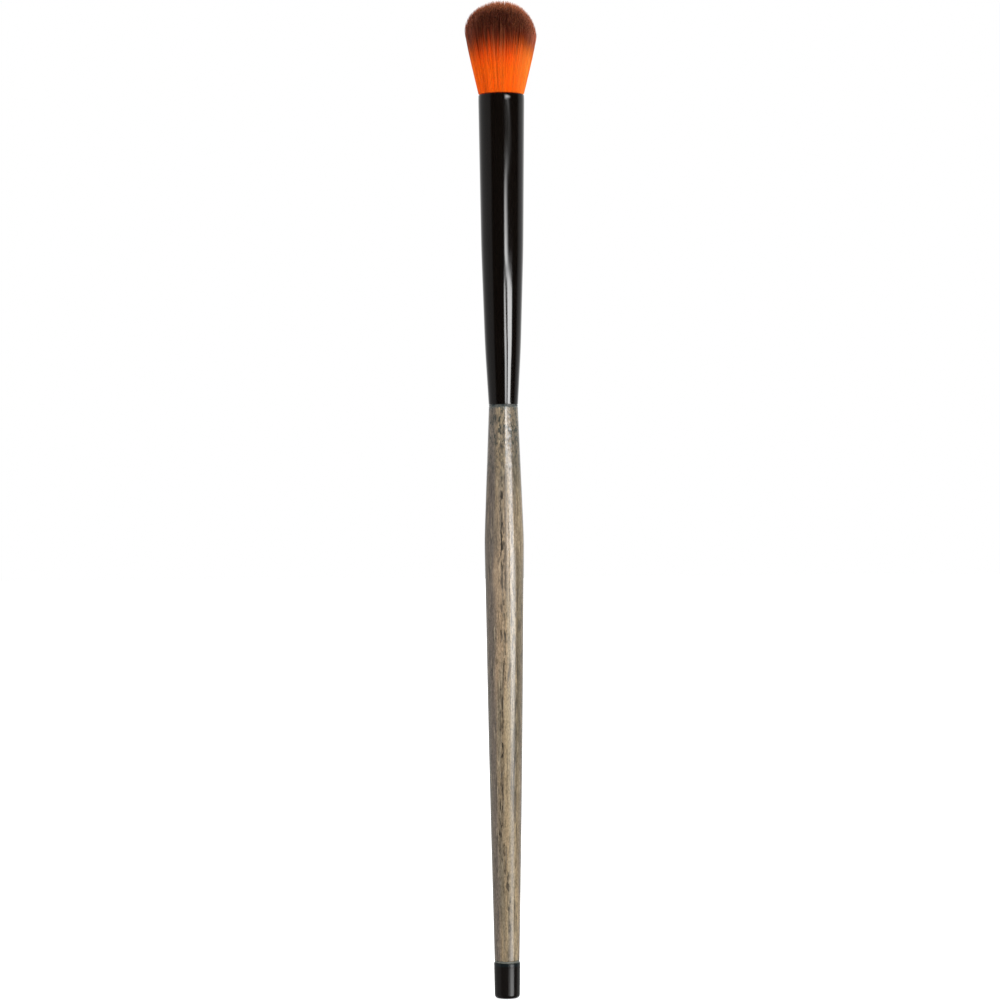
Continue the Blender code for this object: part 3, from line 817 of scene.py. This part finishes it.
def paintBristles():
    # Orange filaments dipped in brown: the dye's edge lies at a height of its own on each filament.
    look, paint = bristleLook, newPaint("dippedFilaments")
    tone, tip = paint.attribute("tone"), paint.attribute("tip")
    other = paint.node("ShaderNodeMath", {"operation": "FRACT"}, [tone * look["reshuffle"]])
    rise = paint.split(2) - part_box("ferrule")[1].z
    side = paint.split(0) / tuftSizes["headRadius"]
    above = rise / look["dyeLength"] + (other - 0.5) * look["dyeScatter"]
    # Painted shade: the dye's edge drops at both sides of the tuft, so its sides darken.
    above = above + paint.step(side * side, *look["shadedSides"]) * look["sideShadeDrop"]
    colour = paint.ramp(above, look["dye"])
    orange = paint.step(above, *look["orange"])
    toneContrast = orange * (look["orangeToneContrast"] + side * look["rightToneContrast"])
    toneContrast = toneContrast + look["toneContrast"]
    grainContrast = look["grainContrast"] + orange * look["orangeGrainContrast"]
    grain = paint.grain(*look["grain"])
    shade = look["brightness"] + (tone - 0.5) * toneContrast + (grain - 0.5) * grainContrast
    colour = paint.mix(1.0, colour, paint.grey(shade), "MULTIPLY")
    warmShare = look["warmShare"] + orange * look["orangeWarmShare"]
    colour = paint.mix((other - 0.5) * warmShare, colour, look["warm"])
    # Painted light: the orange sides, the right side most, are painted paler yellow-orange.
    paintedSideLight = paint.step(side, *look["rightSideLight"]) * look["rightSideLightShare"]
    paintedSideLight = paintedSideLight + paint.step(side, *look["leftSideLight"]) * look["leftSideLightShare"]
    colour = paint.mix(paintedSideLight * paint.step(above, *look["sideLightHeights"]), colour, look["paintedSideLight"])
    # Painted rim light: paler brown all round the dome's outline, stronger on the right, where light would
    # shine through.
    up = rise / look["domeReach"] - look["domeStart"]
    up = paint.node("ShaderNodeMath", {"operation": "MAXIMUM"}, [up, 0.0])
    outward = side * side + up * up
    edge = paint.step(outward, *look["edge"]) * (look["rimLightShare"] + side * look["rightRimLightShare"])
    edge = edge + paint.step(outward, *look["rimLightOutline"]) * look["rimLightOutlineShare"]
    colour = paint.mix(edge * (1 - orange), colour, look["paintedRimLight"])
    undyed = paint.step(other, *look["undyedKinds"]) * paint.span(rise, *look["undyedHeights"])
    colour = paint.mix(undyed * look["undyedShare"], colour, look["undyed"])
    thin = paint.step(tip, *look["tipLength"])
    paleTipsAndSideLight = paint.step(rise, *look["tipHeights"])
    # The longest tips are palest; on the right side they are painted paler still, as painted light.
    paleTipsAndSideLight = paleTipsAndSideLight + paint.step(side, *look["rightTipLight"]) * look["rightTipLightShare"]
    colour = paint.mix(thin * paleTipsAndSideLight, colour, look["tip"])
    # Painted shadow: dark red just above the ferrule's mouth, where the filaments meet its lip.
    colour = paint.mix(paint.step(rise, *look["mouthShadowHeights"]) * look["mouthShadowShare"], colour, look["mouth"])
    return paint.finish(
        Base_Color=colour, Roughness=0.38 + other * 0.16,
        Specular_IOR_Level=0.12, Alpha=0.92 - thin * 0.70,
    )


layout = layTuft()
bristlePaint = paintBristles()
away = np.hypot(*layout[0].T)
for tuftName, (fromShare, toShare) in tuftPieces.items():
    chosen = (away >= fromShare) & (away < toShare)
    tuft = growFilaments(tuftName, chosen, layout, bristlePaint)
    print("filaments grown:", tuftName, len(tuft.data.polygons), "faces")


# Hidden pieces keep their solids

def paintEpoxy():
    # Amber cast resin with swirls and small bubbles.
    paint = newPaint("amberEpoxy")
    swirl = paint.grain(1.2 * mm, 2.4 * mm, 4, 4, 1.5)
    bubbleSize = {"Vector": paint.place, "Scale": 1 / (0.5 * mm)}
    bubble = paint.node("ShaderNodeTexVoronoi", {}, bubbleSize, "Distance")
    spot = 1 - paint.step(bubble, 0.08, 0.18)
    colour = paint.mix(swirl, tint(150, 112, 58), tint(206, 172, 108))
    colour = paint.mix(spot * 0.6, colour, tint(232, 214, 170))
    return paint.finish(
        Base_Color=colour, Roughness=0.2 + swirl * 0.2,
        Normal=paint.bump(spot, 0.02 * mm), Coat_Weight=0.3,
    )


def paintThread():
    # Two-ply thread: fine ridges that cross its run.
    paint = newPaint("bindingThread")
    ply = paint.node("ShaderNodeTexWave", {"bands_direction": "DIAGONAL"}, {
        "Vector": paint.place, "Scale": 1 / (0.9 * mm), "Distortion": 0.6, "Detail": 2.0,
    }, "Fac")
    fuzz = paint.grain(0.05 * mm, 0.05 * mm, 6, 2)
    colour = paint.mix(ply * 0.7 + fuzz * 0.3, tint(150, 140, 122), tint(222, 214, 196))
    return paint.finish(Base_Color=colour, Roughness=0.75 + fuzz * 0.2, Normal=paint.bump(ply, 0.03 * mm))


for nodeName, material in (
    ("cap_glue", paintGlue("capGlue")), ("tenon_glue", paintGlue("tenonGlue")),
    ("epoxy_plug", paintEpoxy()), ("binding_thread", paintThread()),
):
    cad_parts[nodeName].material_slots[0].material = material
print("hidden pieces painted")


# Studio

pixel = 0.1806 * mm  # what one pixel of the picture spans at the brush
studioLook = {
    "cameraDistance": 560 * mm, "cameraHeight": 89.86 * mm, "cameraAside": -4.0 * pixel,
    "cameraRoll": 0.39, "pictureWidth": 1000 * pixel, "sensor": 36.0, "nearest": 0.01, "farthest": 50,
    "floorSize": 6.0, "floorDrop": 0.02 * mm, "floorGlow": 0.72,
    "floorColour": (0.8, 0.8, 0.8, 1),
    # How bright the room is for reflections and for matte colours, by degrees right of the camera's line
    "glossLevels": {
        -180: 0.6, -150: 0.46, -140: 0.36, -130: 0.27, -120: 0.22, -90: 0.175, -62: 0.148, -52: 0.01,
        88: 0.01, 93: 0.06, 100: 0.17, 110: 0.262, 120: 0.28, 130: 0.325, 140: 0.48, 150: 0.6, 180: 0.6,
    },
    "matteLevels": {
        -180: 1.0, -120: 0.92, -60: 0.92, 0: 1.12, 45: 1.2, 80: 1.4, 120: 1.45, 160: 1.15, 180: 1.0,
    },
    "topLevel": 2,  # no level above is brighter than this
}
softboxDistance = 450 * mm
softboxes = {  # rows: height in mm, the bearings of its two ends, and its brightness
    "mainSoftbox": {"softLeft": 0.10, "softRight": 0.26, "rows": [
        (-160, 22, 66, 0), (-145, 19, 63, 3.7), (-82, 23, 66, 4.1), (-74, 26, 66, 2.2),
        (-60, 31, 66, 1.3), (-10, 31, 64, 1.9), (25, 32, 73, 4.4), (50, 33, 75, 6.1),
        (75, 32, 56, 7.8), (85, 31, 57, 7.8), (100, 31, 59.5, 7.6), (113, 29, 60.5, 7.6),
        (133, 26, 60, 7.9), (135.5, 18.5, 47, 8.8), (137, 13, 41, 0),
    ]},
    "stripSoftbox": {"softLeft": 0.30, "softRight": 0.20, "rows": [
        (-160, 14, 30, 0), (-145, 8, 27, 1.1), (-82, 8, 28, 1.3), (-74, 12, 29, 0.6),
        (-60, 16, 30, 0.4), (-40, 16, 30, 0.4), (25, 15, 30, 0.8), (50, 14, 29, 1.6),
        (75, 11, 27, 5.5), (85, 10, 25.5, 5.7), (100, 8.5, 25, 5.8), (113, 7.5, 23.5, 5.8),
        (123, 6.8, 20, 5.7), (131.4, 6.3, 16, 5.7), (132.9, 6.3, 16, 0),
    ]},
    "upperSoftbox": {"softLeft": 0.35, "softRight": 0.65, "rows": [
        (137, 13, 41, 0), (138, 12, 40, 8.2), (150, 8, 36, 7.9), (167, 8, 36, 5.8),
        (175.5, 8, 33, 5.0), (183.5, 9.5, 34, 2.8), (190, 15, 50, 0.65), (194, 24, 55, 0.28),
        (198, 30, 60, 0.28), (203, 31, 56, 0.3), (206, 28, 46, 0.95), (208, 26, 43, 0.95),
        (208.5, 26, 43, 0),
    ]},
    "rimSoftbox": {"softLeft": 0.35, "softRight": 0.6, "rows": [
        (208, 22, 42, 0), (208.5, 22, 42, 0.75), (213, 15, 42, 1.0), (220, 12, 46, 2.4),
        (228, 12.5, 50, 4.8), (236, 13, 52, 7.6), (241, 13, 50, 3.4), (246, 12, 44, 1.6),
        (252, 11, 35, 1.3), (262, 11, 33, 0.95), (266, 11, 33, 0),
    ]},
}


def aimCamera():
    look = studioLook
    bpy.ops.object.camera_add(
        location=(look["cameraAside"], -look["cameraDistance"], look["cameraHeight"]),
        rotation=(math.pi / 2, math.radians(look["cameraRoll"]), 0),
    )
    camera = bpy.context.object
    camera.data.sensor_width = look["sensor"]
    camera.data.lens = look["sensor"] * look["cameraDistance"] / look["pictureWidth"]
    camera.data.clip_start = look["nearest"]
    camera.data.clip_end = look["farthest"]
    bpy.context.scene.camera = camera


def levelRamp(paint, value, levels, top):
    # A brightness for each place from 0 to 1. A ramp's colours end at 1, so the top level scales it.
    stops = [(place, (level / top, level / top, level / top, 1)) for place, level in levels]
    return paint.ramp(value, stops) * top


def paintSoftbox(look):
    # Light that fades towards the panel's sides and follows its rows upwards.
    paint = newPaint("softboxCloth")
    place = paint.node("ShaderNodeTexCoord", {}, {}, "UV")
    across, up = paint.split(0, place), paint.split(1, place)
    levels = [row[3] for row in look["rows"]]
    rising = [(index / (len(levels) - 1), level) for index, level in enumerate(levels)]
    level = levelRamp(paint, up, rising, max(levels))
    level = level * paint.step(across, 0, look["softLeft"]) * paint.step(across, 1, 1 - look["softRight"])
    light = paint.node("ShaderNodeEmission", {}, {"Strength": level})
    paint.node("ShaderNodeOutputMaterial", {}, {"Surface": light})
    return paint.owner


def hangSoftbox(name, look):
    # A panel that faces the brush. Its rows end at bearings to the right of the camera's line.
    rows = np.array(look["rows"])
    panel = startGrid(name, 1, len(rows) - 1)
    points = readPoints(panel)
    row = np.rint((points[:, 1] + 0.5) * (len(rows) - 1)).astype(int)
    middle = rows[:, 1:3].mean()
    bearing = rows[row, 1 + (points[:, 0] > 0)]
    points[:, 0] = softboxDistance * np.tan(np.radians(bearing - middle))
    points[:, 1] = rows[row, 0] * mm
    writePoints(panel, points)
    turn = math.radians(middle)
    panel.location = (softboxDistance * math.sin(turn), -softboxDistance * math.cos(turn), 0)
    panel.rotation_euler = (math.pi / 2, 0, turn)
    panel.data.materials.append(paintSoftbox(look))
    panel.visible_camera = False


def layFloor():
    # Pale floor: white to the camera but for the brush's shadow, and left out of reflections.
    look = studioLook
    bpy.ops.object.select_all(action="DESELECT")
    bpy.ops.mesh.primitive_plane_add(size=look["floorSize"], location=(0, 0, -look["floorDrop"]))
    floor = bpy.context.object
    floor.name = "floor"
    paint = newPaint("paleFloor")
    cloth = paint.node("ShaderNodeBsdfDiffuse", {}, {"Color": look["floorColour"]})
    seen = paint.node("ShaderNodeLightPath", {}, {}, "Is Camera Ray")
    white = paint.node("ShaderNodeEmission", {}, {"Strength": seen * look["floorGlow"]})
    both = paint.node("ShaderNodeAddShader", {}, [cloth, white])
    paint.node("ShaderNodeOutputMaterial", {}, {"Surface": both})
    floor.data.materials.append(paint.owner)
    floor.visible_glossy = False


def lightWorld():
    # White to the camera. Reflections see a dark front between a grey left and a bright right side.
    look = studioLook
    world = bpy.data.worlds.new("studio")
    bpy.context.scene.world = world
    paint = Paint(world)
    toSky = paint.node("ShaderNodeTexCoord", {}, {}, "Generated")
    across, away = paint.split(0, toSky), paint.split(1, toSky)
    bearing = paint.node("ShaderNodeMath", {"operation": "ARCTAN2"}, [across, away * -1])
    turn = bearing / (2 * math.pi) + 0.5
    gloss, matte = (
        levelRamp(paint, turn, [(at / 360 + 0.5, level) for at, level in levels.items()], look["topLevel"])
        for levels in (look["glossLevels"], look["matteLevels"])
    )
    camera, through, glossy = (
        paint.node("ShaderNodeLightPath", {}, {}, f"Is {kind} Ray")
        for kind in ("Camera", "Transmission", "Glossy")
    )
    white = camera + through
    level = white + glossy * gloss + (1 - white - glossy) * matte
    sky = paint.node("ShaderNodeBackground", {}, {"Color": (1, 1, 1, 1), "Strength": level})
    paint.node("ShaderNodeOutputWorld", {}, {"Surface": sky})
    world.cycles.sampling_method = "NONE"


aimCamera()
lightWorld()
layFloor()
for panelName, panelLook in softboxes.items():
    hangSoftbox(panelName, panelLook)
bpy.context.scene.view_settings.view_transform = "Standard"
print("studio lit")
